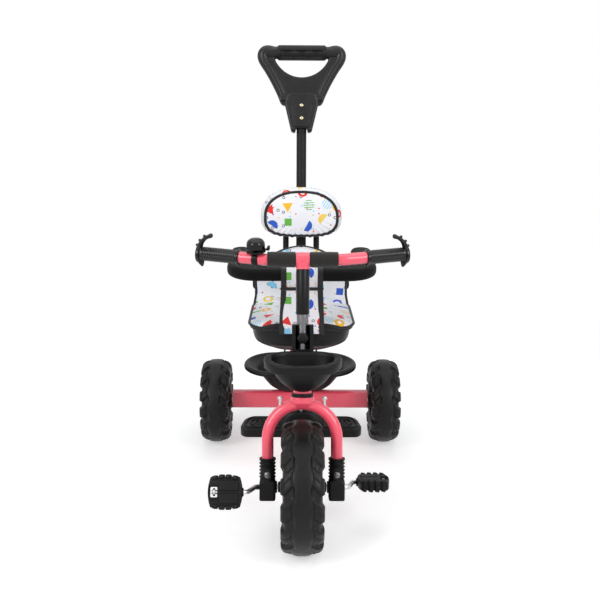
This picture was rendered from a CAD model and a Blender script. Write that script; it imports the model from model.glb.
"""Toddler push-along trike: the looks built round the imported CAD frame. Local sizes are in millimetres."""

import math

import bmesh
import bpy
import numpy as np
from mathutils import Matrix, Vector


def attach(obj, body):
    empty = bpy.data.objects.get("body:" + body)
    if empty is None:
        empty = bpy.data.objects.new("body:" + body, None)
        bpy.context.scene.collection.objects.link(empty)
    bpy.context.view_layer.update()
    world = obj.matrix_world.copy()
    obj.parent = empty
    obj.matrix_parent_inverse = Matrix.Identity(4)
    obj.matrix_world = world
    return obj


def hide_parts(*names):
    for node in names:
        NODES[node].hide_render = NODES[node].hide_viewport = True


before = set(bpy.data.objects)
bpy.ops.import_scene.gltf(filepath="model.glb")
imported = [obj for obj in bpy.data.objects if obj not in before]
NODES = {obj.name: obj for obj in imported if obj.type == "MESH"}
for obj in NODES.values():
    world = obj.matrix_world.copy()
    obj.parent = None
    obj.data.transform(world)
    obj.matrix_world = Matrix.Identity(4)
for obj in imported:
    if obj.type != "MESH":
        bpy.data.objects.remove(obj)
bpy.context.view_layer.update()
MM = 0.001
SCENE = bpy.context.scene


# Frames, in millimetres, as the CAD source has them


def tr(x, y, z):
    m = np.eye(4)
    m[:3, 3] = (x, y, z)
    return m


def mirror(s):
    return np.diag([float(s), 1, 1, 1])


def rot(axis, deg):
    c, s = math.cos(math.radians(deg)), math.sin(math.radians(deg))
    i, j = {"x": (1, 2), "y": (2, 0), "z": (0, 1)}[axis]
    m = np.eye(4)
    m[i, i], m[i, j], m[j, i], m[j, j] = c, -s, s, c
    return m


# T_ sizes run up the steering axis from the front axle; _U sizes and BACK_C run up the mast, _F sizes across it
HEAD_LEAN, POST_LEAN = 15.0, 12.0
FRONT_Y, REAR_Y, R_FRONT, R_REAR = -226.5, 253.5, 125.0, 98.0
W_FRONT, W_REAR, LUG_H = 71.0, 60.0, 4.0
MAST_Y, MAST_Z, POLE_U0, POLE_U1, KNOB_U, LEG_X = 157.5, 115.0, 12.0, 668.0, 112.0, 34.0
T_MID = 91.5
T_S0, T_S1, T_KNOB, T_RIM = 252.8, 303.8, 279.8, 256.8
T_BAR, T_STUB, T_STEM, T_BOLT, T_STUD, STUD_X = 424.8, 406.8, 412.2, 26.0, 144.69, 41.0
BEND, SWEEP, BAR_C, BAR_O = 60.0, 15.0, 66.0, 118.0
BEND_X = BAR_C + BEND * math.sin(math.radians(SWEEP))
BEND_Y = BEND * (1 - math.cos(math.radians(SWEEP)))
H_U, PAD_U, PAD_F, SEAT_Z, TUB_Y, TUB_Z = 628.0, 451.04, -12.4, 350.0, 267.5, 123.5
BACK_U0, BACK_C, DOME_U, BACK_F = 185.04, 281.04, 373.04, -19.0
PIVOT = np.array([0.0, 183.97, 455.99])
GUARD_Y0, GUARD_Y1, GUARD_Z0, GUARD_T = -13.03, 175.97, 462.99, 25.0
SEAM_Y, SEAM_Z = GUARD_Y0 + 4, GUARD_Z0 - 14
FORK_X, REAR_X, CRANK_R, PEDAL_X = 64.5, 198.0, 65.0, 107.7
LUG_COUNT, LUG_STEPS, GUARD_BAND, HAND_H = 14, 24, 45.0, 171.0
SIDES = (("left", -1), ("right", 1))

FLIP = mirror(-1)
AXLE = tr(0, FRONT_Y, R_FRONT)
STEER = AXLE @ rot("x", -HEAD_LEAN)
BAR = STEER @ tr(0, 0, T_BAR) @ rot("x", HEAD_LEAN + 6)
SWEPT = tr(BEND_X, BEND_Y, 0) @ rot("z", SWEEP)
MAST = tr(0, MAST_Y, MAST_Z) @ rot("x", -POST_LEAN)
ALONG_X, ALONG_NY = rot("y", 90), rot("x", 90)


# Mesh helpers: a part is (vertices, faces)


def put(m, v):
    return np.asarray(v, float) @ m[:3, :3].T + m[:3, 3]


def moved(m, part):
    return put(m, part[0]), part[1]


def merge(*parts):
    vs, fs, k = [], [], 0
    for v, f in parts:
        vs.append(np.asarray(v, float).reshape(-1, 3))
        fs += [tuple(i + k for i in q) for q in f]
        k += len(v)
    return np.vstack(vs), fs


def power(x, p):
    return np.sign(x) * np.abs(x) ** p


def turn(n):
    """n angles round a full turn."""
    return np.arange(n) * 2 * math.pi / n


def angles(first, last, n):
    return np.radians(np.linspace(first, last, n))


def along(p):
    """The way run from the start of a line to each of its points."""
    return np.r_[0, np.cumsum(np.linalg.norm(np.diff(p, axis=0), axis=1))]


def ends(rows, cols):
    """The two end faces of a grid that closes along its columns."""
    return [tuple(range(cols))[::-1], tuple(range((rows - 1) * cols, rows * cols))]


def quads(rows, cols, wrap_r=False, wrap_c=False):
    """Faces over a grid of points, which may close on itself either way."""
    out = []
    for i in range(rows if wrap_r else rows - 1):
        for j in range(cols if wrap_c else cols - 1):
            p, q = ((i + 1) % rows) * cols, (j + 1) % cols
            out.append((i * cols + j, i * cols + q, p + q, p + j))
    return out


def spline(pts, n=6, closed=False):
    """A smooth curve through points, n steps between each two."""
    p = np.asarray(pts, float)
    p = np.vstack([p[-1:], p, p[:2]] if closed else [p[:1], p, p[-1:]])
    t = (np.arange(n) / n)[:, None]
    out = []
    for a, b, c, d in zip(p, p[1:], p[2:], p[3:]):
        bend, twist = 2 * a - 5 * b + 4 * c - d, 3 * b - a - 3 * c + d
        out.append(0.5 * (2 * b + (c - a) * t + bend * t**2 + twist * t**3))
    if not closed:
        out.append(p[-1:])
    return np.vstack(out)


def soften(pts, r, n=6, closed=True):
    """Corners of a line or outline, in 2 or 3 dimensions, rounded to about radius r."""
    p = np.asarray(pts, float)
    k = len(p)
    out = []
    for i in range(k):
        ri = r[i] if hasattr(r, "__len__") else r
        if (not closed and i in (0, k - 1)) or ri <= 0:
            out.append(p[i : i + 1])
            continue
        b = p[i]
        u, v = p[i - 1] - b, p[(i + 1) % k] - b
        lu, lv = np.linalg.norm(u), np.linalg.norm(v)
        ang = math.acos(float(np.clip(u @ v / (lu * lv), -1, 1)))
        if ang > 3.05:
            out.append(b[None])
            continue
        d = min(ri / math.tan(ang / 2), 0.48 * lu, 0.48 * lv)
        s, e = b + u / lu * d, b + v / lv * d
        w = max(0.2, math.cos((math.pi - ang) / 2))
        t = np.linspace(0, 1, n + 1)[:, None]
        den = (1 - t) ** 2 + 2 * w * t * (1 - t) + t**2
        out.append(((1 - t) ** 2 * s + 2 * w * t * (1 - t) * b + t**2 * e) / den)
    return np.vstack(out)


def dense(path, gap):
    """The same line with its points evenly spaced, about gap apart."""
    p = np.asarray(path, float)
    s = along(p)
    t = np.linspace(0, s[-1], max(2, int(s[-1] / gap) + 1))
    return np.stack([np.interp(t, s, p[:, c]) for c in range(p.shape[1])], 1)


def carry(path, closed=False, up=(0.0, 0, 1)):
    """Tangent and two normals along a line, carried without twist."""
    p = np.asarray(path, float)
    t = np.roll(p, -1, 0) - np.roll(p, 1, 0) if closed else np.gradient(p, axis=0)
    t /= np.linalg.norm(t, axis=1)[:, None]
    n = np.zeros_like(t)
    last = np.asarray(up, float)
    for i in range(len(p)):
        last = last - (last @ t[i]) * t[i]
        last /= np.linalg.norm(last)
        n[i] = last
    return t, n, np.cross(t, n)


def tube(path, r, seg=20, closed=False, up=(0.0, 0, 1), dome=False, flat=1.0):
    """A round bar along a line; r may change along it, and flat widens it across up."""
    p = np.asarray(path, float)
    r = np.broadcast_to(np.asarray(r, float), (len(p),)).copy()
    if dome and not closed:
        a = np.radians([82, 62, 42, 20])
        t0, t1 = p[0] - p[1], p[-1] - p[-2]
        t0, t1 = t0 / np.linalg.norm(t0), t1 / np.linalg.norm(t1)
        start, end = np.outer(np.sin(a) * r[0], t0), np.outer(np.sin(a[::-1]) * r[-1], t1)
        p = np.vstack([p[0] + start, p, p[-1] + end])
        r = np.r_[np.cos(a) * r[0], r, np.cos(a[::-1]) * r[-1]]
    _, n, b = carry(p, closed, up)
    q = turn(seg)
    high, wide = np.cos(q)[None, :, None] * n[:, None], flat * np.sin(q)[None, :, None] * b[:, None]
    v = p[:, None] + r[:, None, None] * (high + wide)
    f = quads(len(p), seg, wrap_r=closed, wrap_c=True)
    if not closed:
        f += ends(len(p), seg)
    return v.reshape(-1, 3), f


def lathe(profile, n=64, closed=False, wave=None):
    """A profile of (radius, height) turned about Z; wave(angle, i) adds to the radius."""
    pr = np.asarray(profile, float)
    a = turn(n)
    r = np.repeat(pr[:, :1], n, 1)
    if wave is not None:
        r = r + wave(a[None, :], np.arange(len(pr))[:, None])
    z = np.repeat(pr[:, 1:2], n, 1)
    v = np.stack([r * np.cos(a), r * np.sin(a), z], 2)
    f = quads(len(pr), n, wrap_r=closed, wrap_c=True)
    if not closed:
        f += ends(len(pr), n)
    return v.reshape(-1, 3), f


def spun(line, r, n, seg):
    """A line with its corners rounded, turned about Z."""
    return lathe(soften(line, r, n, closed=False), seg)


def rbox(centre, size, r):
    """A box with round edges."""
    bm = bmesh.new()
    bmesh.ops.create_cube(bm, size=1.0)
    bmesh.ops.scale(bm, vec=size, verts=bm.verts)
    bmesh.ops.bevel(bm, geom=bm.edges[:], offset=r, segments=3, profile=0.5, affect="EDGES")
    bm.verts.index_update()
    v = np.array([v.co[:] for v in bm.verts]) + np.asarray(centre, float)
    f = [tuple(v.index for v in f.verts) for f in bm.faces]
    bm.free()
    return v, f


def add(name, data):
    ob = bpy.data.objects.new(name, data)
    SCENE.collection.objects.link(ob)
    return ob


def plate(loops, depth, bevel, seg=5):
    """A flat outline with its holes, as thick as depth about z = 0, with round edges."""
    cu = bpy.data.curves.new("outline", "CURVE")
    cu.dimensions, cu.fill_mode = "2D", "BOTH"
    cu.extrude, cu.bevel_depth, cu.bevel_resolution, cu.offset = depth / 2 - bevel, bevel, seg, -bevel
    for loop in loops:
        sp = cu.splines.new("POLY")
        sp.points.add(len(loop) - 1)
        co = np.c_[loop, np.zeros(len(loop)), np.ones(len(loop))]
        sp.points.foreach_set("co", co.astype(np.float32).ravel())
        sp.use_cyclic_u = True
    ob = add("outline", cu)
    me = bpy.data.meshes.new_from_object(ob.evaluated_get(bpy.context.evaluated_depsgraph_get()))
    part = np.array([v.co[:] for v in me.vertices]), [tuple(p.vertices) for p in me.polygons]
    bpy.data.objects.remove(ob)
    bpy.data.curves.remove(cu)
    bpy.data.meshes.remove(me)
    return part


def loft(rings):
    """A closed skin over rings of as many points each."""
    r = np.asarray(rings, float)
    rows, cols = r.shape[:2]
    return r.reshape(-1, 3), quads(rows, cols, wrap_c=True) + ends(rows, cols)


def oval(a, b, square, n, z, cy=0.0):
    """A ring between an ellipse (square 2) and a rectangle."""
    q = turn(n)
    c, s = np.cos(q), np.sin(q)
    return np.stack([a * power(c, 2 / square), b * power(s, 2 / square) + cy, np.full(n, z)], 1)


def step(lo, hi, x):
    """A smooth rise from 0 at lo to 1 at hi, flat beyond them."""
    t = np.clip((x - lo) / (hi - lo), 0, 1)
    return t * t * (3 - 2 * t)


def solid(name, v, f, looks, weld=0.0):
    """An object of points in millimetres, with its faces turned outward and smooth."""
    me = bpy.data.meshes.new(name)
    me.from_pydata((np.asarray(v) * MM).tolist(), [], f)
    bm = bmesh.new()
    bm.from_mesh(me)
    if weld:
        bmesh.ops.remove_doubles(bm, verts=bm.verts, dist=weld)
    bmesh.ops.recalc_face_normals(bm, faces=bm.faces)
    bm.to_mesh(me)
    bm.free()
    me.polygons.foreach_set("use_smooth", [True] * len(me.polygons))
    for look in looks:
        me.materials.append(look)
    return add(name, me)


def make(name, part, look, body, nodes=(), angle=38, slot=None):
    """A rigid piece that rides a body, in place of the CAD nodes named; edges past the angle stay sharp."""
    ob = solid(name, *part, [look], weld=2e-6)
    ob.data.set_sharp_from_angle(angle=math.radians(angle))
    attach(ob, body)
    if nodes:
        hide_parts(*nodes)
    slot or SLOT_OF[look]
    return ob


# Materials


class Look:
    """A Principled material and short ways to add nodes to it."""

    def __init__(self, name, base, rough, metal=0.0, coat=0.0, spec=0.5):
        self.mat = bpy.data.materials.new(name)
        self.mat.use_nodes = True
        self.nt = self.mat.node_tree
        self.shader = self.nt.nodes["Principled BSDF"]
        self.set("Base Color", (*base, 1))
        self.set("Roughness", rough)
        self.set("Metallic", metal)
        self.set("Specular IOR Level", spec)
        if coat:
            self.set("Coat Weight", coat)
            self.set("Coat Roughness", 0.08)
        self.where = self.node("ShaderNodeTexCoord").outputs["Object"]

    def set(self, socket, value):
        self.shader.inputs[socket].default_value = value

    def node(self, kind, inputs=None, **props):
        n = self.nt.nodes.new(kind)
        for k, v in props.items():
            setattr(n, k, v)
        for k, v in (inputs or {}).items():
            self.feed(n.inputs[k], v)
        return n

    def feed(self, socket, value):
        if isinstance(value, bpy.types.NodeSocket):
            self.nt.links.new(value, socket)
        else:
            socket.default_value = value

    def math(self, op, *args):
        return self.node("ShaderNodeMath", dict(enumerate(args)), operation=op).outputs[0]

    def vector(self, op, *args):
        return self.node("ShaderNodeVectorMath", dict(enumerate(args)), operation=op).outputs

    def times(self, a, b):
        return self.math("MULTIPLY", a, b)

    def size(self, a):
        return self.math("ABSOLUTE", a)

    def cells(self, scale):
        return self.node("ShaderNodeTexVoronoi", {"Vector": self.where, "Scale": scale}).outputs["Distance"]

    def noise(self, scale, detail=3.0, rough=0.5):
        inputs = {"Vector": self.where, "Scale": scale, "Detail": detail, "Roughness": rough}
        return self.node("ShaderNodeTexNoise", inputs).outputs["Fac"]

    def span(self, value, lo, hi):
        inputs = {"Value": value, "From Min": 0.3, "From Max": 0.7, "To Min": lo, "To Max": hi}
        return self.node("ShaderNodeMapRange", inputs).outputs[0]

    def mix(self, fac, a, b):
        a, b = (c if isinstance(c, bpy.types.NodeSocket) else (*c, 1) for c in (a, b))
        return self.node("ShaderNodeMix", {0: fac, 6: a, 7: b}, data_type="RGBA").outputs[2]

    def bump(self, height, strength, distance, under=None):
        n = self.node("ShaderNodeBump", {"Height": height, "Strength": strength, "Distance": distance})
        if under is not None:
            self.nt.links.new(under, n.inputs["Normal"])
        return n.outputs["Normal"]

    def edge(self, radius):
        return self.node("ShaderNodeBevel", {"Radius": radius}, samples=4).outputs["Normal"]

    def link(self, socket, value):
        self.nt.links.new(value, self.shader.inputs[socket])


def moulded(name, tone, rough, grain=0.25, spec=0.19):
    """Moulded plastic: a faint cloud in the colour, a fine grain and softened edges."""
    k = Look(name, (tone, tone, tone), rough, spec=spec)
    cloud = k.noise(28, 4, 0.6)
    k.link("Base Color", k.mix(cloud, (tone * 0.78,) * 3, (tone * 1.25,) * 3))
    k.link("Roughness", k.span(k.noise(60, 5, 0.65), rough - 0.07, rough + 0.08))
    k.link("Normal", k.bump(k.cells(1500.0), grain, 0.00025, k.edge(0.0009)))
    return k.mat


def pink_paint():
    k = Look("pink_paint", (0.93, 0.092, 0.15), 0.3, coat=0.5)
    k.link("Base Color", k.mix(k.noise(9, 2), (0.92, 0.088, 0.145), (0.94, 0.096, 0.155)))
    k.link("Roughness", k.span(k.noise(60, 3), 0.27, 0.33))
    k.link("Normal", k.bump(k.noise(300, 2), 0.02, 0.0003, k.edge(0.0012)))
    return k.mat


def metal(name, base, rough):
    k = Look(name, base, rough, metal=1.0)
    k.link("Base Color", k.mix(k.noise(45, 4), [c * 0.86 for c in base], base))
    k.link("Roughness", k.span(k.noise(160, 5), rough * 0.8, rough * 1.35))
    k.link("Normal", k.bump(k.noise(900, 3), 0.05, 0.0002, k.edge(0.0005)))
    return k.mat


def rubber(name, tone, rough):
    k = Look(name, (tone, tone, tone * 0.96), rough, spec=0.21)
    dark, dusty = ([tone * c for c in tint] for tint in ((0.7, 0.69, 0.67), (1.5, 1.46, 1.38)))
    k.link("Base Color", k.mix(k.noise(34, 5, 0.7), dark, dusty))
    k.link("Roughness", k.span(k.noise(80, 4), rough - 0.1, rough + 0.08))
    k.link("Normal", k.bump(k.cells(700.0), 0.2, 0.0004))
    return k.mat


def foam_look():
    k = Look("foam", (0.02, 0.017, 0.015), 0.85, spec=0.3)
    k.link("Base Color", k.mix(k.noise(70, 5, 0.7), (0.008, 0.007, 0.006), (0.018, 0.015, 0.0135)))
    k.link("Normal", k.bump(k.cells(1100.0), 0.45, 0.0006))
    k.set("Sheen Weight", 0.25)
    return k.mat


def weave(k, at, pitch):
    """Threads over and under, as a height."""
    sep = k.node("ShaderNodeSeparateXYZ", {0: at})
    return k.times(*(k.math("SINE", k.times(sep.outputs[i], 2 * math.pi / pitch)) for i in (0, 1)))


def tape_look():
    k = Look("black_tape", (0.012, 0.012, 0.013), 0.75, spec=0.3)
    k.link("Base Color", k.mix(k.noise(90, 4), (0.006, 0.006, 0.007), (0.014, 0.014, 0.015)))
    inputs = {"Vector": k.where, "Scale": 420.0, "Distortion": 1.5}
    ribs = k.node("ShaderNodeTexWave", inputs, wave_type="BANDS", bands_direction="DIAGONAL").outputs["Fac"]
    k.link("Normal", k.bump(ribs, 0.5, 0.0004))
    k.set("Sheen Weight", 0.3)
    return k.mat


PRINT = [
    (0.80, 0.035, 0.03), (0.03, 0.11, 0.55), (0.90, 0.50, 0.03), (0.13, 0.46, 0.06), (0.24, 0.62, 0.86),
    (0.88, 0.62, 0.12)
]


def print_look():
    """White cloth with a scatter of plain shapes: dots, rings, triangles, squares, bars and half rounds."""
    k = Look("print_fabric", (0.86, 0.87, 0.9), 0.8, spec=0.25)
    uv = k.node("ShaderNodeUVMap", uv_map="print").outputs[0]

    def scatter(pitch, shift, jitter):
        p = k.vector("ADD", uv, (shift, shift * 1.7, 0))[0]
        inputs = {"Vector": p, "Scale": 1 / pitch, "Randomness": jitter}
        v = k.node("ShaderNodeTexVoronoi", inputs, voronoi_dimensions="2D")
        off = k.vector("SUBTRACT", p, v.outputs["Position"])[0]
        rnd = k.node("ShaderNodeSeparateColor", {0: v.outputs["Color"]})
        inputs = {"Vector": off, "Angle": k.times(rnd.outputs[2], 6.2832)}
        turned = k.node("ShaderNodeVectorRotate", inputs, rotation_type="Z_AXIS").outputs[0]
        xy = k.node("ShaderNodeSeparateXYZ", {0: turned})
        return xy.outputs[0], xy.outputs[1], rnd

    def near(value, limit):
        return k.math("LESS_THAN", value, limit)

    def between(value, lo, hi):
        return k.times(k.math("GREATER_THAN", value, lo), k.math("LESS_THAN", value, hi))

    def length(x, y):
        return k.math("SQRT", k.math("ADD", k.times(x, x), k.times(y, y)))

    def ramp(value, colours):
        n = k.node("ShaderNodeValToRGB", {0: value})
        n.color_ramp.interpolation = "CONSTANT"
        for i, c in enumerate(colours):
            e = n.color_ramp.elements[i] if i < 2 else n.color_ramp.elements.new(i / len(colours))
            e.position, e.color = i / len(colours), (*c, 1)
        return n.outputs[0]

    x, y, rnd = scatter(0.038, 0.0, 0.5)
    ax, ay, ln = k.size(x), k.size(y), length(x, y)
    tri = k.math("MAXIMUM", k.times(y, -1.0), k.math("ADD", k.times(ax, 0.866), k.times(y, 0.5)))
    r = 0.0108
    forms = [
        near(ln, r),
        near(k.size(k.math("SUBTRACT", ln, r * 0.8)), r * 0.24),
        near(tri, r * 0.62),
        near(k.math("MAXIMUM", ax, ay), r * 0.72),
        k.times(near(ln, r * 1.15), k.math("GREATER_THAN", y, 0.0)),
        k.times(near(ax, r * 1.1), near(ay, r * 0.34)),
        k.times(near(ln, r * 1.1), near(k.size(k.math("SINE", k.times(y, 640.0))), 0.55)),
    ]
    pick, mask = rnd.outputs[0], None
    for i, f in enumerate(forms):
        part = k.times(f, between(pick, i / len(forms), (i + 1) / len(forms)))
        mask = part if mask is None else k.math("ADD", mask, part)
    colour = ramp(rnd.outputs[1], PRINT)
    core = k.times(near(ln, r * 0.4), between(pick, 0.0, 1 / len(forms)))
    colour = k.mix(core, colour, (0.92, 0.92, 0.94))
    x2, y2, rnd2 = scatter(0.0125, 0.37, 0.8)
    ln2 = length(x2, y2)
    few = k.math("GREATER_THAN", rnd2.outputs[0], 0.7)
    speck = k.times(few, near(ln2, 0.0017))
    hoop = k.times(between(rnd2.outputs[0], 0.58, 0.7), near(k.size(k.math("SUBTRACT", ln2, 0.0026)), 0.0007))
    ground = k.mix(k.noise(22, 3), (0.80, 0.81, 0.86), (0.90, 0.905, 0.93))
    out = k.mix(speck, ground, ramp(rnd2.outputs[1], PRINT[::-1]))
    out = k.mix(hoop, out, (0.03, 0.035, 0.05))
    k.link("Base Color", k.mix(mask, out, colour))
    rumple = k.bump(k.noise(46, 3, 0.55), 0.35, 0.004)
    k.link("Normal", k.bump(weave(k, uv, 0.0011), 0.25, 0.00025, rumple))
    k.set("Sheen Weight", 0.2)
    return k.mat


PLASTIC = moulded("black_plastic", 0.005, 0.42)
GUARD_LOOK = moulded("guard_plastic", 0.004, 0.6, spec=0.1)
GLOSS = moulded("gloss_black", 0.004, 0.12, grain=0.03, spec=0.3)
HANDLE_LOOK = moulded("handle_plastic", 0.005, 0.34, spec=0.34)
GRIP = moulded("grip_rubber", 0.008, 0.46)
BAR_GRIP = moulded("bar_grip", 0.004, 0.18, grain=0.04, spec=0.34)
TYRE = rubber("tyre", 0.006, 0.44)
PINK = pink_paint()
STEEL = metal("steel", (0.62, 0.62, 0.63), 0.28)
CHROME = metal("chrome", (0.2, 0.2, 0.21), 0.22)
BOLT_LOOK = metal("bolt_steel", (0.22, 0.22, 0.23), 0.3)
BRASS = metal("screw_brass", (0.58, 0.53, 0.33), 0.3)
BLACK_METAL = moulded("black_metal", 0.005, 0.5, grain=0.04)
STEM_LOOK = moulded("stem_plastic", 0.006, 0.32, grain=0.06)
SEAT_LOOK = moulded("seat_plastic", 0.008, 0.34, grain=0.15)
FOAM = foam_look()
TAPE = tape_look()
CLOTH = print_look()

SLOTS = {
    "black_plastic": [PLASTIC, GUARD_LOOK, HANDLE_LOOK, SEAT_LOOK, TAPE],
    "gloss_black": [GLOSS],
    "grip_rubber": [GRIP, BAR_GRIP],
    "tyre": [TYRE],
    "pink_paint": [PINK],
    "steel": [STEEL, BOLT_LOOK],
    "chrome": [CHROME],
    "screw_brass": [BRASS],
    "black_metal": [BLACK_METAL],
    "foam": [FOAM, STEM_LOOK],
}
SLOT_OF = {look: slot for slot, looks in SLOTS.items() for look in looks}

# CAD nodes that show as they are, with a look of their own
KEPT = {
    PLASTIC: "front_rim rear_rim_left rear_rim_right wheel_spacers axle_bushes "
    "headset_lower headset_upper head_shroud back_board",
    CHROME: "steerer_tube",
    STEEL: "rear_axle hub_caps foot_screws seat_bolts tube_clips guard_bolts pedal_caps",
    BLACK_METAL: "basket_stays",
    PINK: "main_frame axle_bar",
}
for look, names in KEPT.items():
    for n in names.split():
        NODES[n].data.materials.clear()
        NODES[n].data.materials.append(look)


# Wheels


def tyre(R, w):
    """A tyre of radius R and width w about X: a ridge, leaning shoulder lugs and a zigzag edge between."""
    h, e, lug = w / 2, w * 0.23, LUG_H
    # distance from the middle and drop below the tread
    crown = [(0, 0), (e * 0.5, 0.3), (e - 2.6, 1.2)]
    groove = [
        (e - 0.4, 2.8), (e + 1, 5.4), (e + 2.4, 7), (e + 4, 7.6), (e + 5.2, 8), (h - 12, 9.2), (h - 7, 11),
        (h - 3.5, 14.4), (h - 1.6, 18), (h - 0.6, 24), (h, 29), (h, 32)
    ]
    block = [
        (e - 0.4, 2.4), (e + 1, 3.8), (e + 2.2, 4.4), (e + 3.4, 3.9), (e + 5, 3.4), (h - 11, 4),
        (h - 4.5, 5.8), (h + 0.5, 9.6), (h + lug - 0.8, 14), (h + lug, 20), (h + lug - 1, 26.5), (h + 0.8, 31)
    ]
    wall = [(h - 1, 37), (h - 4, 41), (h - 8, 42)]
    lo, hi = (spline(np.array(crown + part + wall) * (1, -1) + (0, R), 4) for part in (groove, block))
    lo, hi = (np.vstack([p[::-1] * (-1, 1), p[1:]]) for p in (lo, hi))
    a = turn(LUG_COUNT * LUG_STEPS)
    turns = a * LUG_COUNT / (2 * math.pi)
    out = np.abs(hi[:, 0])
    lean = 0.34 * np.clip((out - e) / (h - e), 0, 1.0)
    ph = (turns[None] + lean[:, None]) % 1.0
    lugs = step(0.08, 0.17, ph) - step(0.70, 0.80, ph)
    sipe = np.exp(-(((ph - 0.43) / 0.035) ** 2)) * ((out > e + 4) & (out < h + 1))[:, None]
    pr = lo[:, None] + lugs[..., None] * (hi - lo)[:, None]
    pr[..., 1] -= 1.8 * sipe
    saw = turns % 1.0
    zig = 3.4 * (step(0.0, 0.22, saw) - step(0.48, 0.72, saw)) - 1.7
    edge = np.exp(-(((out - e) / 4.6) ** 2))
    pr[..., 0] += np.sign(hi[:, :1]) * edge[:, None] * zig[None]
    v = np.stack([pr[..., 0], -pr[..., 1] * np.cos(a)[None], pr[..., 1] * np.sin(a)[None]], 2)
    return v.reshape(-1, 3), quads(v.shape[0], v.shape[1], wrap_c=True)


make("tyre_front", moved(AXLE, tyre(R_FRONT, W_FRONT)), TYRE, "front_wheel", ["front_tyre"], 50)
for side, s in SIDES:
    part = moved(tr(s * REAR_X, REAR_Y, R_REAR), tyre(R_REAR, W_REAR))
    make(f"tyre_{side}", part, TYRE, f"{side}_wheel", [f"rear_tyre_{side}"], 50)


# Crank and pedals


def crank_frame(s):
    return AXLE @ rot("x", 160 if s < 0 else -20)


def crank_rod(s):
    line = [[0, 0, 0], [s * 87, 0, 0], [s * 99, CRANK_R, 0], [s * 163, CRANK_R, 0]]
    line = dense(soften(line, 12, 10, closed=False), 2.0)
    far = np.linalg.norm(line[:, 1:], axis=1)
    r = np.where(far < 6, 4.95, np.where(far > 60, 3.95, 4.5))
    r = np.convolve(np.r_[[r[0]] * 3, r, [r[-1]] * 3], np.ones(7) / 7, "valid")
    return moved(crank_frame(s), tube(line, r, 20))


make("crank_rod", merge(crank_rod(-1), crank_rod(1)), STEEL, "front_wheel", ["crank_axle"])


def pedal():
    y = np.linspace(-27, 27, 15)
    bulge = 76.7 - np.sqrt(76.7**2 - y**2)
    outline = np.vstack([np.c_[62 - bulge, y], np.c_[bulge, y][::-1]])
    window = soften([[45, -9], [58, -9], [58, 9], [45, 9]], 2)
    parts = [plate([outline, window], 18, 3)]
    for s in (-1, 1):
        inner = soften([[6, s * 2.2], [42, s * 2.2], [42, s * 20.5], [8, s * 20.5]], 3)
        parts.append(plate([inner], 21.4, 1.6))
        for i in range(4):
            for t in (-1, 1):
                lug = rbox((0, 0, 0), (9.6, 8, 11.6), 2.4)
                at = tr(12.8 + 12.1 * i, s * (27.2 - 1.9 * (abs(i - 1.5) - 0.5)), t * 5.4)
                parts.append(moved(at @ rot("z", -s * 6 * (i - 1.5)) @ rot("y", s * t * 13), lug))
    parts.append(moved(ALONG_X, lathe([(4.15, -2), (7, -2), (8, -1), (8, 6), (4.15, 6)], 32)))
    for t in (-1, 1):
        parts.append(rbox((51.5, t * 11.5, 0), (15, 3, 19), 1))
    return merge(*parts)


PEDAL = pedal()
for side, s in SIDES:
    tilt = rot("x", -99) @ FLIP if s < 0 else rot("x", 9)
    at = crank_frame(s) @ tr(0, CRANK_R, 0) @ tilt @ tr(PEDAL_X, 0, 0)
    make(f"pedal_{side}_block", moved(at, PEDAL), PLASTIC, f"{side}_pedal", [f"pedal_{side}"])


# Fork


def fork():
    a = angles(0, 180, 73)
    arch = np.c_[FORK_X * np.cos(a), np.zeros(73), T_MID + FORK_X * np.sin(a)]
    line = np.vstack([[[FORK_X, 0, 10.2]], arch, [[-FORK_X, 0, 10.2]]])
    crown = [[0, 150], [14, 150], [21, 158], [22, 160], [22, 169.8], [0, 169.8]]
    crown = spun(crown, [0, 0, 3, 2, 1.5, 0], 4, 56)
    q = np.radians(np.arange(0, 360, 10))
    bead = tube(np.c_[14.5 * np.cos(q), 14 * np.sin(q), 163 - 6 * np.abs(np.cos(q))], 2.4, 10, closed=True)
    return merge(tube(line, 11, 32, up=(0, 1, 0)), crown, bead)


make("fork_tube", moved(STEER, fork()), PINK, "steering", ["fork"])


def sleeve():
    rings = []
    for z in np.r_[-23, -22.6, -21.8, -20.4, np.linspace(-19, 10, 12)]:
        k = min(1.0, math.sqrt(max(0.0, 1 - ((z + 20.4) / 2.8) ** 2)) if z < -20.4 else 1.0)
        rings.append(oval(15 - 2.6 * (1 - k), 17 - 2.6 * (1 - k), 9, 64, z))
    for t in np.linspace(0, 1, 7)[1:]:
        rings.append(oval(15 - 0.8 * t, 17 - 2.8 * t, 9 - 6.4 * t, 64, 10 + 6 * t))
    for z in np.arange(16.5, 52, 0.6):
        rib = max(0.0, math.cos((z - 19.7) / 6.4 * 2 * math.pi)) ** 0.6
        rings.append(oval(13.4 + 2.1 * rib, 13.4 + 2.0 * rib, 2.4, 64, z))
    for z, r in ((52, 14.4), (52.6, 15.4), (54, 15.6), (55, 15.0), (55, 12.2), (46, 11.2)):
        rings.append(oval(r, r, 2.3, 64, z))
    parts = [loft(rings), rbox((0, -13.6, 25), (16, 6.8, 26), 2)]
    for z in (16.5, 34.5, 42, 47):
        parts.append(rbox((0, -16.4 if z < 38 else -14.6, z), (9, 2, 1.8), 0.6))
    return merge(*parts)


SLEEVE = sleeve()
for side, s in SIDES:
    part = moved(STEER @ tr(s * FORK_X, 0, 0), SLEEVE)
    make(f"sleeve_{side}", part, PLASTIC, "steering", [f"fork_sleeve_{side}"], 30)


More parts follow.
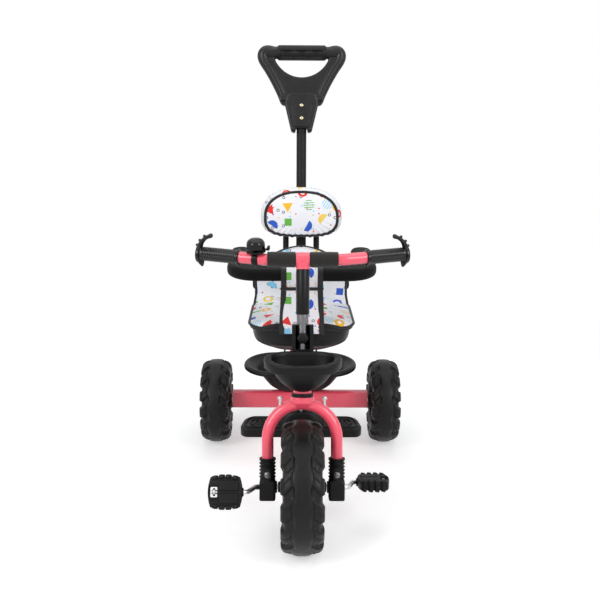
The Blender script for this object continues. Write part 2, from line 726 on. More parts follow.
def screw(d, h, under):
    """A pan head of diameter d and height h on z = 0, with a cross recess, and a plain shank below."""
    r, n = d / 2, 48
    rr = np.r_[np.linspace(0, r * 0.94, 12), r, r]
    z = np.r_[h - h * 0.35 * (np.linspace(0, 0.94, 12)) ** 2, h * 0.5, 0]
    a = turn(n) + 0.3
    x, y = rr[:, None] * np.cos(a), rr[:, None] * np.sin(a)
    near, far = np.minimum(np.abs(x), np.abs(y)), np.maximum(np.abs(x), np.abs(y))
    cross = (near < r * 0.16) & (far < r * 0.62)
    head = np.stack([x, y, z[:, None] - cross * h * 0.4], 2).reshape(-1, 3)
    shank = lathe([(0, 0), (d * 0.27, 0), (d * 0.27, -under), (0, -under)], 20)
    return merge((head, quads(len(rr), n, wrap_c=True) + ends(len(rr), n)[1:]), shank)


BOLT = merge(
    moved(tr(0, -17.2, 0) @ ALONG_NY, screw(9.4, 3.4, 33)),
    moved(tr(0, -16.9, 0) @ ALONG_NY, spun([[0, 0], [5.8, 0], [5.8, 0.8], [0, 0.8]], 0.3, 2, 32)),
    moved(tr(0, 20, 0) @ ALONG_NY, lathe([(0, 0), (5, 0), (5.6, 0.8), (5.6, 4), (0, 4)], 6)),
)
bolts = [moved(STEER @ tr(s * FORK_X, 0, T_BOLT), BOLT) for s in (-1, 1)]
make("fork_screws", merge(*bolts), BOLT_LOOK, "steering", ["fork_bolts"])


# Front basket: an oval bowl with a rolled rim, cut flat at the back along the steering axis


def front_basket():
    slope = math.tan(math.radians(HEAD_LEAN))

    def ring(r, z, back=0.0, half=18.5):
        q = np.linspace(math.pi / 2, -math.pi / 2, 49)
        deep = np.where(q > 0, min(r, z * slope - back + 34), r)
        right = np.c_[half + r * np.cos(q), deep * np.sin(q) - 34, np.full(49, z)]
        arc = np.vstack([right, (right * (-1, 1, 1))[::-1]])
        return np.vstack([arc, np.linspace(arc[-1], arc[0], 18)[1:-1]])

    rim = [
        [48.5, -3.2], [48.3, -10], [48.9, -15.6], [50.2, -16.3], [51.2, -15.4], [51.8, -8], [51.6, -2.4],
        [50.0, -0.4], [47.5, 0], [41.5, -0.2], [39.1, -1.2]
    ]
    rim = spline(rim, 4)
    u = np.sin(np.linspace(0, 0.5, 30) * math.pi) * 0.9995
    k = (1 - u**1.9) ** 0.62
    cup = [ring(40 * a + 0.3, -3 - 63 * b, 0, 18.5 * a) for a, b in zip(k, u)]
    well = [ring(37.5 * a + 0.3, -3 - 60.5 * b, 2.5, 18.5 * a) for a, b in zip(k, u)]
    return loft(cup[::-1] + [ring(r, z) for r, z in rim] + well)


BOWL = STEER @ tr(0, -26.5, T_RIM) @ rot("x", HEAD_LEAN)
make("basket_front", moved(BOWL, front_basket()), PLASTIC, "steering", ["front_basket"], 45)
stud = [[0, 0], [3, 0], [3, 20], [5.4, 20], [5.4, 23], [3.6, 25], [0, 25]]
stud = spun(stud, [0, 0.5, 0.4, 0.5, 1, 1, 0], 4, 40)
studs = [moved(STEER @ tr(x, 0, T_STUD), stud) for x in (-STUD_X, STUD_X)]
make("rim_studs", merge(*studs), STEEL, "steering", ["basket_studs"], slot="chrome")


def knob(name, at, r, h, lift, pin, body, node):
    """A hand knob of height h with six shallow lobes, lifted on its own screw, which ends at pin."""
    top = h + 2.0
    line = [[0, 0], [r - 1.5, 0], [r, 1.5], [r, h - 2.5], [r - 3, h], [r * 0.55, h], [r * 0.5, top], [0, top]]
    pr = soften(line, [0, 1, 1, 2, 1.5, 0.4, 0.6, 0], 4, closed=False)
    deep = np.clip((pr[:, 0] - r * 0.62) / (r * 0.38), 0, 1)
    cap = lathe(pr, 72, wave=lambda a, i: -0.11 * r * deep[i] * (0.5 - 0.5 * np.cos(6 * a)) ** 1.6)
    rod = lathe([(0, 11.6), (2.95, 11.6), (2.95, pin), (0, pin)], 24)
    make(name, moved(at, merge(moved(tr(0, 0, lift), cap), rod)), PLASTIC, body, [node])


knob("clamp_knob", STEER @ tr(0, 0, T_KNOB) @ ALONG_NY, 10.5, 11.5, 19.5, 22, "stem_clamp", "stem_knob")
knob("pole_clamp_knob", MAST @ tr(0, 0, KNOB_U) @ rot("x", -90), 12, 11, 22, 26, "pole_clamp", "pole_knob")


# Plain tubes


def pipe(r, bore, z0, z1):
    return lathe(soften([[bore, z0], [r, z0], [r, z1], [bore, z1]], [0, 0.6, 0.6, 0], 3), 64, closed=True)


make("stem_pipe", moved(STEER, pipe(11, 9, T_S0 + 0.6, T_STEM)), CHROME, "bars", ["stem_tube"], 50)
cover = pipe(12.5, 11.1, T_S1 + 19, T_STUB - 0.2)
make("stem_cover", moved(STEER, cover), STEM_LOOK, "bars", ["stem_sleeve"], 50)
make("pole_pipe", moved(MAST, pipe(11, 9.5, POLE_U0, POLE_U1)), BLACK_METAL, "push_bar", ["push_pole"], 50)
legs = [moved(MAST @ tr(x, -5.5, 0), pipe(6.5, 5, BACK_U0 + 20, PAD_U + 39)) for x in (-LEG_X, LEG_X)]
make("back_legs", merge(*legs), BLACK_METAL, "frame", ["back_tubes"], 50)


# Handlebar, foam, grips and bell


def bar_line():
    a = angles(0, SWEEP, 14)
    arc = np.c_[BAR_C + BEND * np.sin(a), BEND * (1 - np.cos(a)), np.zeros(14)]
    end = put(SWEPT, [[BAR_O, 0, 0]])
    half = np.vstack([[[0, 0, 0]], arc, end])
    return np.vstack([half[::-1] * (-1, 1, 1), half[1:]])


tee = moved(ALONG_X, spun([[11, -12.6], [13.4, -12.6], [13.4, 12.6], [11, 12.6]], [0, 1.6, 1.6, 0], 4, 40))
stub = spun([[11.2, T_STUB], [12.7, T_STUB], [12.7, T_BAR - 13], [14.5, T_BAR - 4]], [0, 1, 4, 0], 4, 40)
stub = moved(np.linalg.inv(BAR) @ STEER, stub)
make("bar", moved(BAR, merge(tube(dense(bar_line(), 4), 11, 32), tee, stub)), PINK, "bars", ["handlebar"])

for side, s in SIDES:
    pr = soften([[11.1, 13], [14.5, 13], [14.5, 66], [11.1, 66]], [0, 2, 2, 0], 4, closed=False)
    pr = np.vstack([pr[:6], np.c_[np.full(20, 14.5), np.linspace(16, 63, 20)], pr[-6:]])
    lump = np.random.default_rng(7 + s).normal(0, 0.12, 40)
    part = lathe(pr, 40, wave=lambda a, i: lump[i % 40] + 0.15 * np.sin(3 * a + i * 0.3))
    part = moved(BAR @ mirror(s) @ ALONG_X, part)
    foam = make(f"foam_sleeve_{side}", part, FOAM, "bars", [f"foam_{side}"], 60)


def grip():
    """A handlebar grip with studs, an end disc and a curved horn with three nubs."""
    z = np.r_[
        38, 38.2, 39, 40, 41, 41.8, 42, np.arange(43, 113.6, 0.9), 114, 114.2, 115, 117, 119, 120.4, 121, 121
    ]
    r = np.interp(
        z, [38, 38.2, 39, 41, 41.8, 42, 44, 113, 114, 114.2, 115, 119, 120.4, 121],
        [12, 14.2, 15.2, 15.2, 14.2, 12.8, 12.4, 12.4, 12.8, 16.2, 17.3, 17.3, 16.2, 14.5]
    )
    r[-1] = 0
    fade = step(44, 46, z) * (1 - step(111, 113, z))

    def studs(a, i):
        u, v = a * 8, z[i] * math.pi / 4.7
        return fade[i] * 1.5 * np.clip(np.cos(u + v) * np.cos(u - v) - 0.05, 0, 1)

    body = moved(ALONG_X, lathe(np.c_[r, z], 108, wave=studs))
    horn = [
        [112.6, -22.5], [114.6, -14.5], [116.8, -6], [118, 3], [116.4, 13], [111.6, 23.6], [103.6, 32],
        [94, 37]
    ]
    horn = spline(horn, 6)
    thick = np.interp(
        np.linspace(0, 1, len(horn)), [0, 0.12, 0.28, 0.45, 0.6, 0.75, 0.9, 1],
        [2.8, 5.8, 7.4, 6.8, 5.4, 4.2, 3.6, 4.4]
    )
    line = np.c_[horn[:, 0], np.zeros(len(horn)), horn[:, 1]]
    parts = [body, tube(line, thick, 20, up=(1, 0, 0), dome=True, flat=1.6)]
    for at in (0.6, 0.73, 0.86):
        i = int(at * (len(horn) - 1))
        t = horn[i] - horn[i - 1]
        out = np.array([t[1], -t[0]]) / np.hypot(*t)
        nub = [horn[i] + k * out for k in (thick[i] - 2, thick[i] - 0.6, thick[i] + 0.4)]
        parts.append(tube([[a, 0, b] for a, b in nub], [3.0, 3.0, 2.9], 14, up=(0, 1, 0), dome=True))
    return merge(*parts)


GRIP_PART = grip()
for side, s in SIDES:
    part = moved(BAR @ mirror(s) @ SWEPT, GRIP_PART)
    make(f"grip_rubber_{side}", part, BAR_GRIP, "bars", [f"grip_{side}"], 50)

BELL = BAR @ FLIP @ SWEPT @ tr(6, 0, 0)
strap = moved(ALONG_X, spun([[11.1, -5.5], [14, -5.5], [14, 5.5], [11.1, 5.5]], [0, 1, 1, 0], 3, 40))
saucer = [[0, 11.5], [7, 11.5], [12, 12.4], [18.4, 14.4], [18.4, 17], [15, 17], [3, 17], [3, 22], [0, 22]]
saucer = spun(saucer, [0, 1, 3, 1, 1, 0, 0, 0.4, 0], 4, 56)
foot = rbox((0, 13, 0), (9, 7, 12), 1.5)
make("bell_cup", moved(BELL, merge(strap, saucer, foot)), PLASTIC, "bars", ["bell_base"])
dome = [
    [3.2, 21.2], [14, 21.2], [16.9, 21.6], [17.3, 23], [17.3, 27], [17.0, 30.4], [15.9, 33.6], [13.6, 36.4],
    [10.2, 38.4], [9.4, 38.1], [8.6, 38.8], [5, 39.6], [0, 40]
]
dome = spline(dome, 5)
make("bell_shell", moved(BELL, lathe(dome, 64)), GLOSS, "bars", ["bell_dome"], 50)
lever = merge(
    spun([[3.15, 17.5], [6.5, 17.5], [6.5, 20.5], [3.15, 20.5]], 0.5, 2, 32),
    rbox((-14.5, 4, 19), (17, 6, 2.8), 0.9),
    rbox((-23.4, 4, 21.8), (4, 10, 8.6), 1.5),
)
make("bell_thumb_lever", moved(BELL, lever), PLASTIC, "bell_thumb", ["bell_lever"])


# Rear basket: an oval tub that narrows downward, with a wide rolled flange


def rear_basket():
    # half the straight side, radius and height; the lip is measured from the flange
    flange = (58.0, 75.0, 66.0)
    outer = [
        [22, 0.6, 0], [22, 16, 0], [23, 23.6, 0.4], [30, 30, 4.2], [38, 36, 14], [46, 41, 30], [52, 44.6, 44],
        [55, 46.6, 50.5]
    ]
    outer = spline(outer, 5)
    lip = [
        [-1.6, -23.5, -13], [-0.4, -13, -10.8], [0, -6, -10.2], [0, -2.4, -11.2], [0, -0.6, -10.2],
        [0, -0.1, -7], [0, -0.9, -3.4], [0, -3.6, -0.9], [0, -7, -0.1], [0, -10.4, -1], [-0.2, -13, -3.4],
        [-0.8, -18.6, -7], [-1.6, -25.4, -10]
    ]
    lip = spline(np.array(lip) + flange, 4)
    inner = [
        [55.4, 45, 52], [53, 42.6, 45], [46, 38.4, 31.6], [38, 33.4, 16.6], [30, 27.4, 7.2], [23, 21, 3.4],
        [22, 14, 3], [22, 0.6, 3]
    ]
    inner = spline(inner, 5)
    q = angles(-90, 90, 41)
    rings = []
    for half, r, z in np.vstack([outer, lip, inner]):
        right = np.c_[half + r * np.cos(q), r * np.sin(q)]
        rings.append(np.c_[np.vstack([right, -right]), np.full(82, z)])
    return loft(rings)


make("basket_rear", moved(tr(0, TUB_Y, TUB_Z), rear_basket()), PLASTIC, "frame", ["rear_basket"], 45)


# Foot rest


def foot_rest():
    y0, z = -11.5, 146.0
    outline = soften([[-131, y0], [131, y0], [118, y0 + 68], [-118, y0 + 68]], [17, 17, 27, 27], 8)
    inset = soften([[-122, y0 + 9], [-38, y0 + 9], [-38, y0 + 60], [-111, y0 + 60]], [12, 5, 5, 20], 6)
    parts = [moved(tr(0, 0, z - 12), plate([outline], 20, 3.2))]
    for s in (1, -1):
        line = np.c_[inset * (s, 1), np.full(len(inset), z - 1.4)]
        parts.append(tube(dense(np.vstack([line, line[:1]]), 3)[:-1], 2.4, 10, closed=True))
        for r, t in ((23, 2.6), (14.5, 2.4), (6.5, 2.8)):
            q = np.radians(np.arange(0, 360, 7.5))
            x, y = r * 1.12 * np.cos(q) - s * 81.2, y0 + 34 + 0.9 * r * np.sin(q)
            parts.append(tube(np.c_[x, y, np.full(48, z - 1.4)], t, 10, closed=True))
    rings = []
    for t in np.linspace(0, 1, 14):
        k = math.sin(t * math.pi / 2)
        a, b = 50 - 26 * t**1.5 - 4 * t, 29 - 5 * t
        rings.append(oval(a, b, 4.2, 56, z - 8 + 38 * k, cy=y0 + 35 + 1.5 * t))
    rings.append(oval(10, 12, 4, 56, z + 30.3, cy=y0 + 36.5))
    parts.append(loft(rings))
    return merge(*parts)


make("foot_board", foot_rest(), PLASTIC, "frame", ["foot_rest"], 40)


# Seat shell and its back


def seat_shell():
    lean = math.radians(POST_LEAN)
    rear = MAST_Y + BACK_F / math.cos(lean) + 175 * math.tan(lean)
    rows = [
        (350, 0, 0), (349.6, 0.6, 0.4), (347, 1, 0.6), (342, 1.3, 1), (334, 2, 1.8), (326, 3, 3),
        (319, 4.8, 5), (313, 8, 8.5), (308, 14, 15), (303, 22, 23), (298, 31, 33), (294, 38, 40),
        (291, 44, 46), (290, 50, 52)
    ]
    front, back = 21.5, rear + 15
    mid = (front + back) / 2
    rings = [oval(88, 70, 3, 80, 346, cy=mid), oval(101, 84, 3.2, 80, 349.4, cy=mid)]
    for z, ix, iy in rows:
        f, b = front + iy, back - 0.42 * iy
        rings.append(oval(106 - ix, (b - f) / 2, 3.1, 80, z, cy=(f + b) / 2))
    parts = [loft(rings)]
    arch = angles(0, 180, 61)
    c, q = np.cos(arch), np.maximum(0, np.sin(arch))
    dome = np.c_[96.8 * power(c, 1.143), DOME_U - 64 + 61 * q**1.143]
    foot = [[-96.8, BACK_U0 + 8], [-92, BACK_U0], [92, BACK_U0], [96.8, BACK_U0 + 8]]
    dome = np.vstack([dome, foot])
    x, u0, u1 = 107.8, BACK_C - 6, BACK_C + 73
    wing = soften([[-x, u0], [x, u0], [x, u1], [-x, u1]], 10)
    face = MAST @ tr(0, BACK_F + 2.5, 0) @ rot("x", 90)
    parts += [moved(face, plate([dome], 5, 1.6)), moved(face, plate([wing], 4.6, 1.4))]
    ear = np.array([[5, 40], [-26, 44], [-40, 58], [-26, 72], [5, 73]]) + (BACK_F, BACK_C)
    ear = plate([soften(ear, [1, 8, 13, 8, 1])], 6, 1.4)
    upright = np.eye(4)[[2, 0, 1, 3]]
    parts += [moved(MAST @ tr(s * 104.8, 0, 0) @ upright, ear) for s in (-1, 1)]
    return merge(*parts)


make("seat_bucket", seat_shell(), SEAT_LOOK, "frame", ["seat_shell"], 45)


# Padded cloth


PUFF_FRAMES, PUFF_CAP = 16, 5.0


def puff(ob, pin, pressure):
    """Swells a closed pad with Blender's cloth; pinned points stay, and none moves further than PUFF_CAP."""
    me = ob.data
    rest = np.array([v.co[:] for v in me.vertices])
    grp = ob.vertex_groups.new(name="pin")
    for i, w in enumerate(pin):
        if w > 0:
            grp.add([i], float(w), "REPLACE")
    cl = ob.modifiers.new("cloth", "CLOTH")
    s = cl.settings
    s.quality, s.mass = 5, 0.3
    s.tension_stiffness, s.compression_stiffness, s.bending_stiffness = 12, 8, 0.6
    s.use_pressure, s.uniform_pressure_force = True, pressure
    s.vertex_group_mass = "pin"
    s.effector_weights.gravity = 0
    cl.point_cache.frame_start, cl.point_cache.frame_end = 1, PUFF_FRAMES
    for f in range(1, PUFF_FRAMES + 1):
        SCENE.frame_set(f)
    ev = ob.evaluated_get(bpy.context.evaluated_depsgraph_get())
    new = np.array([v.co[:] for v in ev.data.vertices])
    ob.modifiers.remove(cl)
    ob.vertex_groups.remove(grp)
    SCENE.frame_set(1)
    d = new - rest
    ln = np.linalg.norm(d, axis=1)
    d *= np.minimum(1, PUFF_CAP * MM / np.maximum(ln, 1e-9))[:, None]
    me.vertices.foreach_set("co", (rest + d).astype(np.float32).ravel())
    me.update()


def lay_print(ob, coords):
    """Print coordinates in metres, one per vertex, as the UV map that the cloth look reads."""
    me = ob.data
    uv = me.uv_layers.new(name="print")
    idx = np.zeros(len(me.loops), np.int32)
    me.loops.foreach_get("vertex_index", idx)
    uv.data.foreach_set("uv", np.asarray(coords, np.float32)[idx].ravel())


def fabric(name, v, f, body, nodes, coords, tape=None, pin=None, pressure=0.0):
    """Print cloth, swelled where it has pins; faces whose points are all marked tape are plain tape."""
    ob = solid(name, v, f, [CLOTH, TAPE])
    if tape is not None:
        marks = [int(all(tape[i] for i in p.vertices)) for p in ob.data.polygons]
        ob.data.polygons.foreach_set("material_index", marks)
    lay_print(ob, coords)
    if pin is not None:
        puff(ob, pin, pressure)
    mod = ob.modifiers.new("smooth", "SUBSURF")
    mod.levels = mod.render_levels = 1
    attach(ob, body)
    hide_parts(*nodes)
    return ob


def two_sided(rows, cols):
    """Faces of a sheet of two layers, each of rows by cols points, and the loop of points round its rim."""
    k = rows * cols
    left, right = [i * cols for i in range(rows)], [i * cols + cols - 1 for i in range(rows)]
    loop = left[::-1] + list(range(cols)) + right + list(range(k - cols, k))[::-1]
    loop = [loop[i] for i in range(len(loop)) if loop[i] != loop[i - 1]]
    f = quads(rows, cols)
    f += [tuple(i + k for i in q[::-1]) for q in f]
    f += [(loop[i - 1], loop[i], loop[i] + k, loop[i - 1] + k) for i in range(len(loop))]
    return f, loop


SEAT_R, TURN = 34.0, 78.0
PAN_L, TURN_L, BACK_L, BACK_W, DOME_H = 139.97, 46.29, 108.1, 99.8, 64.0


def seat_at(l):
    """Point, lean and half width of the cushion's underside, l along it from its front edge."""
    y0, z0 = 19.5, SEAT_Z + 0.4
    if l < PAN_L:
        return y0 + l, z0, 0.0, 109.5 - 3.5 * l / PAN_L
    a = min(1.0, (l - PAN_L) / TURN_L) * TURN
    r, v = math.radians(a), l - PAN_L - TURN_L
    y, z = y0 + PAN_L + SEAT_R * math.sin(r), z0 + SEAT_R * (1 - math.cos(r))
    if v < 0:
        return y, z, a, 106 - (106 - BACK_W) * a / TURN
    w = BACK_W * max(0.0, 1 - max(0.0, (v - BACK_L + DOME_H) / DOME_H) ** 1.75) ** (1 / 1.75)
    return y + v * math.cos(r), z + v * math.sin(r), a, w


def seat_cushion():
    """A pad that follows the seat and its back, with a crease at the turn, and the line of its rim."""
    total, nx = PAN_L + TURN_L + BACK_L, 44
    ls = np.r_[0, 1.2, 3, 6, np.linspace(10, total - 14, 57), total - np.array([9, 5, 2, 0.7, 0.15])]
    xs = np.sin(np.linspace(-1, 1, nx) * math.pi / 2) * 0.45 + np.linspace(-1, 1, nx) * 0.55
    top, low, uv = [], [], []
    for l in ls:
        y, z, a, w = seat_at(l)
        r = math.radians(a)
        n = np.array([0, -math.sin(r), math.cos(r)])
        end = min(l, total - l)
        low_end = 0.62 if l < 60 else 0.42
        full = 24 * (low_end + (1 - low_end) * math.sqrt(max(0.0, 1 - (1 - min(1, end / 30)) ** 2)))
        crease = 1 - 0.34 * math.exp(-(((l - PAN_L - TURN_L * 0.45) / 9) ** 2))
        for x in xs:
            h = full * crease * (0.42 + 0.58 * (1 - abs(x) ** 3.2))
            corner = 1.0
            if l < 26:
                corner = min(1.0, (w - 26 + math.sqrt(max(0.0, 26**2 - (26 - l) ** 2))) / w)
            p = np.array([w * corner * x, y, z])
            top.append(p + n * h)
            low.append(p * (0.985, 1, 1))
            uv.append((w * corner * x * MM, l * MM))
    v = np.vstack([top, low])
    k = len(top)
    f, loop = two_sided(len(ls), nx)
    edge = np.zeros(2 * k, bool)
    edge[loop] = True
    edge[k:] = True
    return v, f, edge, np.vstack([uv, uv]), v[loop]


v, f, edge, uv, rim = seat_cushion()
pin = edge.astype(float)
cushion = fabric("cushion_seat", v, f, "frame", ["seat_cushion"], uv, edge, pin, pressure=3.0)
rim = spline(rim[::2], 2, closed=True)
make("piping_seat", tube(rim, 2.7, 12, closed=True, up=(0.1, 0.2, 1)), TAPE, "frame", angle=80)


def pad_ring(n):
    """The outline of the back pad, as n points evenly spaced, and its length."""
    a = turn(n)
    c, s = np.cos(a), np.sin(a)
    x = 90 * power(c, np.where(s < 0, 0.62, 0.86))
    z = np.where(s < 0, -46 * np.abs(s) ** 0.66, 62 * np.abs(s) ** 0.9) - 10
    k = dense(np.c_[np.r_[x, x[0]], np.r_[z, z[0]]], 1.0)
    s = along(k)
    t = np.arange(n) * s[-1] / n
    return np.c_[np.interp(t, s, k[:, 0]), np.interp(t, s, k[:, 1])], s[-1]


def back_pad():
    n, depth = 96, 37.0
    ring, around = pad_ring(n)
    prof = [
        [0.86, 0], [0.93, 0.01], [0.972, 0.08], [0.992, 0.2], [0.995, 0.34], [0.978, 0.5], [0.935, 0.64],
        [0.875, 0.735]
    ]
    prof = spline(prof, 3)
    for k in (0.86, 0.84, 0.81, 0.77, 0.72, 0.65, 0.57, 0.48, 0.39, 0.3, 0.21, 0.12, 0.05):
        dome = math.sqrt(max(0, 1 - (k / 0.88) ** 2.2)) ** 0.9
        prof = np.vstack([prof, [(k, 0.735 + 0.265 * dome)]])
    v, uv = [], []
    seam = along(prof * (89, depth))
    for i, (k, d) in enumerate(prof):
        for j in range(n):
            x, z = ring[j] * k
            low = step(-20, -44, ring[j, 1])
            pull = low * 1.6 * math.sin(j * 2.1) * (0.2 < d < 0.95) * (k > 0.6)
            z -= 5.5 * step(0.3, 0.74, d)
            v.append((x, -depth * d + pull, z + 0.8 * pull))
            side = k > 0.87
            uv.append(((0.3 + j * around / n * MM, seam[i] * MM) if side else (x * MM, z * MM)))
    v.append((0, -depth, 0))
    uv.append((0, 0))
    rows = len(prof)
    last = (rows - 1) * n
    f = quads(rows, n, wrap_c=True) + [(last + j, last + (j + 1) % n, rows * n) for j in range(n)]
    f.append(tuple(range(n))[::-1])
    pin = np.zeros(len(v))
    pin[: 4 * n] = 1
    k = int(np.argmin(np.abs(prof[:, 0] - 0.875) + np.abs(prof[:, 1] - 0.735)))
    pin[k * n : (k + 1) * n] = 1
    v = np.array(v)
    return v, f, np.array(uv), pin, v[k * n : (k + 1) * n]


PADM = MAST @ tr(0, PAD_F - 5, PAD_U)
v, f, uv, pin, rim = back_pad()
pad = fabric("pad_back", put(PADM, v), f, "frame", ["back_pad"], uv, pin=pin, pressure=3.5)
welt = moved(PADM, tube(rim + (0, -0.8, 0), 3.7, 14, closed=True, up=(0, 1, 0)))
make("piping_back", welt, TAPE, "frame", angle=80)


# Guard ring, its cover and the crotch panel


def guard_ring():
    w, band, r, ri = 153.0, GUARD_BAND, 62.0, 31.0
    wi = w - band
    q, tip = angles(0, 90, 19), angles(0, 180, 25)[::-1]
    half = np.vstack([
        np.c_[w - band / 2 + band / 2 * np.cos(tip), GUARD_Y1 + band / 2 * np.sin(tip)],
        np.c_[w - r + r * np.cos(q), GUARD_Y0 + r - r * np.sin(q)],
    ])
    inner = np.c_[wi - ri + ri * np.cos(q), GUARD_Y0 + band + ri - ri * np.sin(q)]
    outline = np.vstack([half, (half * (-1, 1))[::-1], inner * (-1, 1), inner[::-1]])
    parts = [moved(tr(0, 0, GUARD_Z0 + GUARD_T / 2), plate([outline], GUARD_T, 9.5, 7))]
    boss = spun([[4.2, 108.2], [13, 108.2], [13, 143], [4.2, 143]], [0, 1.5, 2.5, 0], 4, 40)
    parts += [moved(mirror(s) @ tr(*PIVOT) @ ALONG_X, boss) for s in (1, -1)]
    return merge(*parts)


make("guard_band", guard_ring(), GUARD_LOOK, "guard", ["guard_ring"], 45)


def strip(line, x0, x1, t, nx=24, wave=None):
    """A sheet of cloth of thickness t that follows a line of (y, z), from x0 to x1."""
    p = np.asarray(line, float)
    d = np.gradient(p, axis=0)
    d /= np.linalg.norm(d, axis=1)[:, None]
    nrm = np.c_[-d[:, 1], d[:, 0]]
    s = along(p)
    us = np.linspace(0, 1, nx)
    out, uv = [], []
    for side in (0.5, -0.5):
        for i in range(len(p)):
            a, b = x0(s[i] / s[-1]), x1(s[i] / s[-1])
            for u in us:
                bow = wave(u, s[i] / s[-1]) if wave else 0.0
                y, z = p[i] + nrm[i] * (side * t + bow)
                out.append((a + (b - a) * u, y, z))
                uv.append(((a + (b - a) * u) * MM, -s[i] * MM))
    return np.array(out), two_sided(len(p), nx)[0], np.array(uv), s[-1]


CLOTH_T, TAPE_T, CLOTH_W = 1.8, 3.6, 40.0
TAPE_OUT, TAPE_IN = 2.0, 9.0


def hang(name, line, flare, body, nodes, wave=None):
    """Print cloth along a line, wider by flare at each side of its end, with tape bound on its sides."""

    def half(s):
        return CLOTH_W + flare * s

    v, f, uv, length = strip(line, lambda s: -half(s), half, CLOTH_T, wave=wave)
    ob = fabric(name, v, f, body, nodes, uv)
    bands = []
    for side, s in ((0.0, -1), (1.0, 1)):
        x0, x1 = (lambda t, by=by: s * half(t) + by for by in sorted((s * TAPE_OUT, -s * TAPE_IN)))
        bands.append(strip(line, x0, x1, TAPE_T, 8, wave and (lambda u, t: wave(side, t)))[:2])
    with_pieces = [make(name + "_binding", merge(*bands), TAPE, body, angle=60)]


gap = 1.5
y0, y1 = GUARD_Y0 - gap, GUARD_Y0 + GUARD_BAND + gap
z0, z1 = GUARD_Z0 - gap, GUARD_Z0 + GUARD_T + gap
wrap = [[SEAM_Y, SEAM_Z + 2.2], [y0, z0 + 6], [y0, z1], [y1, z1], [y1, z0], [y0 + 10, z0]]
wrap = dense(soften(wrap, [0, 8, 10, 10, 10, 0], 6, closed=False), 3)
hang("cover_guard", wrap, 0, "guard", ["guard_cover"])

top = SEAM_Z + 0.4
drop, lean = top - SEAT_Z + 4, 12.5 - SEAM_Y
fall = np.array([(SEAM_Y + lean * t**1.4, top - drop * t) for t in np.linspace(0, 1, 34)])


def belly(u, s):
    """How far the hung panel bows, u across it and s down it."""
    return math.sin(math.pi * s) * (0.7 * math.sin(9 * u + 3 * s) - 4.0 * (1 - (2 * u - 1) ** 2))


hang("panel_crotch", fall, 5, "panel", ["crotch_panel"], wave=belly)
seam = np.c_[np.linspace(-41, 41, 30), np.full(30, SEAM_Y - 1.6), np.full(30, SEAM_Z - 0.4)]
make("seam_tape", tube(seam, 2.6, 12, up=(0, 1, 0), dome=True, flat=1.3), TAPE, "panel", angle=80)


# Push handle


def handle():
    """Two round arms from a stepped block up to the bar of the grip, with a web round a half-moon opening."""
    arm = [
        [37, 66], [44, 84], [56, 109], [70, 134], [81, 151], [85.2, 162], [83.5, 170.5], [76, 175], [64, 174]
    ]
    arm = spline(arm, 8)
    thick = np.interp(np.linspace(0, 1, len(arm)), [0, 0.35, 0.62, 0.8, 1], [11.2, 12.2, 12.8, 12.8, 11.5])
    side = np.array([[44, 66], [62, 106], [76, 134], [84, 150], [84, 172], [59, 172], [58.5, 157]])
    q = angles(27, 153, 43)
    k = math.sin(q[0])
    moon = np.c_[59 * np.cos(q) / math.cos(q[0]), 155.5 - 38 * (np.sin(q) - k) / (1 - k)][1:-1]
    web = np.r_[side, moon, (side * (-1, 1))[::-1]]
    block = [
        [-23, -1], [-18, -4], [-13.5, -3], [-12.5, 4], [12.5, 4], [13.5, -3], [18, -4], [23, -1], [38, 61],
        [30, 84], [-30, 84], [-38, 61]
    ]
    block = soften(block, [1, 2, 1, 1, 1, 1, 2, 1, 4, 10, 10, 4])
    collar = [[-47.5, 62.4], [47.5, 62.4], [51.5, 75], [38, 82], [-38, 82], [-51.5, 75]]
    collar = soften(collar, [2, 2, 5, 6, 6, 5])
    ridge = soften([[-17, 8], [17, 8], [24, 56], [-24, 56]], 5)
    parts = [plate([web], 17, 5, 5), plate([block], 29, 4.5, 4), plate([collar], 26, 4, 4)]
    parts.append(moved(tr(0, 0, 1), plate([ridge], 29.6, 1.5, 3)))
    for s in (1, -1):
        parts.append(tube(np.c_[arm * (s, 1), np.zeros(len(arm))], thick, 28, up=(0, 0, 1), dome=True))
        parts.append(tube([[s * 78, HAND_H, 0], [s * 52, HAND_H, 0]], 13.6, 28, up=(0, 0, 1)))
    return merge(*parts)


HANDLE = MAST @ tr(0, 0, H_U) @ rot("x", 90)
make("handle_body", moved(HANDLE, handle()), HANDLE_LOOK, "push_bar", ["push_handle"], 40)


def hand_grip():
    """A round grip with three finger hollows along its front."""
    xs = np.r_[-53.6, -53.2, -52, np.linspace(-50, 50, 101), 52, 53.2, 53.6]
    n = 96
    a = turn(n)
    front = 1 - step(0.46, 0.62, np.abs(a - math.radians(203)))
    rings = []
    for x in xs:
        end = 1 - 0.12 * step(50, 53.6, abs(x))
        hollow = 1.2 + 3.6 * abs(math.sin(x / 96 * 3 * math.pi + math.pi / 2)) ** 0.7
        r = 16.6 * end - (1 - step(46, 49, abs(x))) * front * hollow
        rings.append(np.c_[np.full(n, x), r * np.cos(a), r * np.sin(a)])
    rod = moved(ALONG_X, lathe([(0, -67), (6.8, -67), (6.8, 67), (0, 67)], 24))
    return merge(loft(rings), rod)


make("handle_rubber", moved(MAST @ tr(0, 0, H_U + HAND_H), hand_grip()), GRIP, "push_bar", ["push_grip"], 50)
pins = [moved(MAST @ tr(0, -15.1, H_U + z) @ ALONG_NY, screw(7.4, 2.4, 3.6)) for z in (27, 55)]
make("handle_pins", merge(*pins), BRASS, "push_bar", ["handle_screws"])


# Camera, floor and light

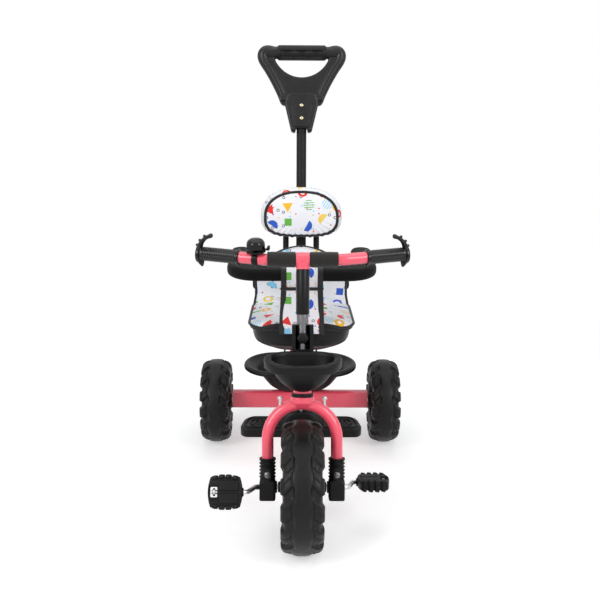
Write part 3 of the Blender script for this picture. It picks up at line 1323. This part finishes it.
LENS, SENSOR = 54.0, 36.0
EYE, TILT = (-0.02, -1.7405, 0.938), (73.5, -0.32, -0.44)
FLOOR_TONE, FLOOR_LIFT, FLOOR_HALF = 0.86, 0.42, 9.0
FADE_FROM, FADE_TO = 0.55, 1.5
SKY_TINT, SKY_LEVEL = (0.95, 0.97, 1.0, 1), 0.32
LAMPS = [
    ("key_left", (-1.7, -1.7, 1.7), (0, 0, 0.4), (1.2, 1.4), 35.5),
    ("key_right", (1.7, -1.6, 1.7), (0, 0, 0.4), (1.2, 1.4), 31.5),
    ("top", (0, 0.2, 2.6), (0, 0, 0.3), (2.4, 2.0), 20),
]

cam = bpy.data.cameras.new("camera")
cam.lens, cam.sensor_width, cam.clip_end = LENS, SENSOR, 60.0
eye = add("camera", cam)
eye.location = EYE
eye.rotation_euler = [math.radians(a) for a in TILT]
SCENE.camera = eye


def seen(nt):
    """1 for rays from the camera, also by way of metal or glass, and 0 for those that light the object."""
    path = nt.nodes.new("ShaderNodeLightPath")
    out = path.outputs["Is Camera Ray"]
    for kind in ("Is Glossy Ray", "Is Transmission Ray"):
        most = nt.nodes.new("ShaderNodeMath")
        most.operation = "MAXIMUM"
        nt.links.new(out, most.inputs[0])
        nt.links.new(path.outputs[kind], most.inputs[1])
        out = most.outputs[0]
    return out


def floor_look():
    """A pale floor that keeps the shadow and fades to white away from the object."""
    k = Look("floor", (FLOOR_TONE,) * 3, 0.9, spec=0.0)
    eye_ray = seen(k.nt)
    far = k.vector("LENGTH", k.where)["Value"]
    inputs = {"Value": far, "From Min": FADE_FROM, "From Max": FADE_TO}
    ring = k.node("ShaderNodeMapRange", inputs, interpolation_type="SMOOTHSTEP").outputs[0]
    glow = k.node("ShaderNodeEmission", {"Strength": k.times(eye_ray, FLOOR_LIFT)}).outputs[0]
    near = k.node("ShaderNodeAddShader", {0: k.shader.outputs[0], 1: glow}).outputs[0]
    white = k.node("ShaderNodeEmission").outputs[0]
    out = k.node("ShaderNodeMixShader", {0: k.times(ring, eye_ray), 1: near, 2: white}).outputs[0]
    k.feed(k.nt.nodes["Material Output"].inputs["Surface"], out)
    return k.mat


floor_me = bpy.data.meshes.new("floor")
corners = [(x * FLOOR_HALF, y * FLOOR_HALF, 0) for x, y in ((-1, -1), (1, -1), (1, 1), (-1, 1))]
floor_me.from_pydata(corners, [], [(0, 1, 2, 3)])
floor_me.materials.append(floor_look())
add("floor", floor_me)

world = bpy.data.worlds.new("studio")
SCENE.world = world
world.use_nodes = True
wt = world.node_tree
sky, white = wt.nodes["Background"], wt.nodes.new("ShaderNodeBackground")
pick = wt.nodes.new("ShaderNodeMixShader")
sky.inputs[0].default_value, sky.inputs[1].default_value = SKY_TINT, SKY_LEVEL
white.inputs[0].default_value, white.inputs[1].default_value = (1, 1, 1, 1), 1.0
for i, value in enumerate((seen(wt), sky.outputs[0], white.outputs[0])):
    wt.links.new(value, pick.inputs[i])
wt.links.new(pick.outputs[0], wt.nodes["World Output"].inputs[0])

for name, place, aim, size, power in LAMPS:
    lamp = bpy.data.lights.new(name, "AREA")
    lamp.shape, lamp.size, lamp.size_y, lamp.energy = "RECTANGLE", *size, power
    ob = add(name, lamp)
    ob.location = place
    ob.rotation_euler = (Vector(aim) - Vector(place)).to_track_quat("-Z", "Y").to_euler()

SCENE.view_settings.view_transform = "Standard"
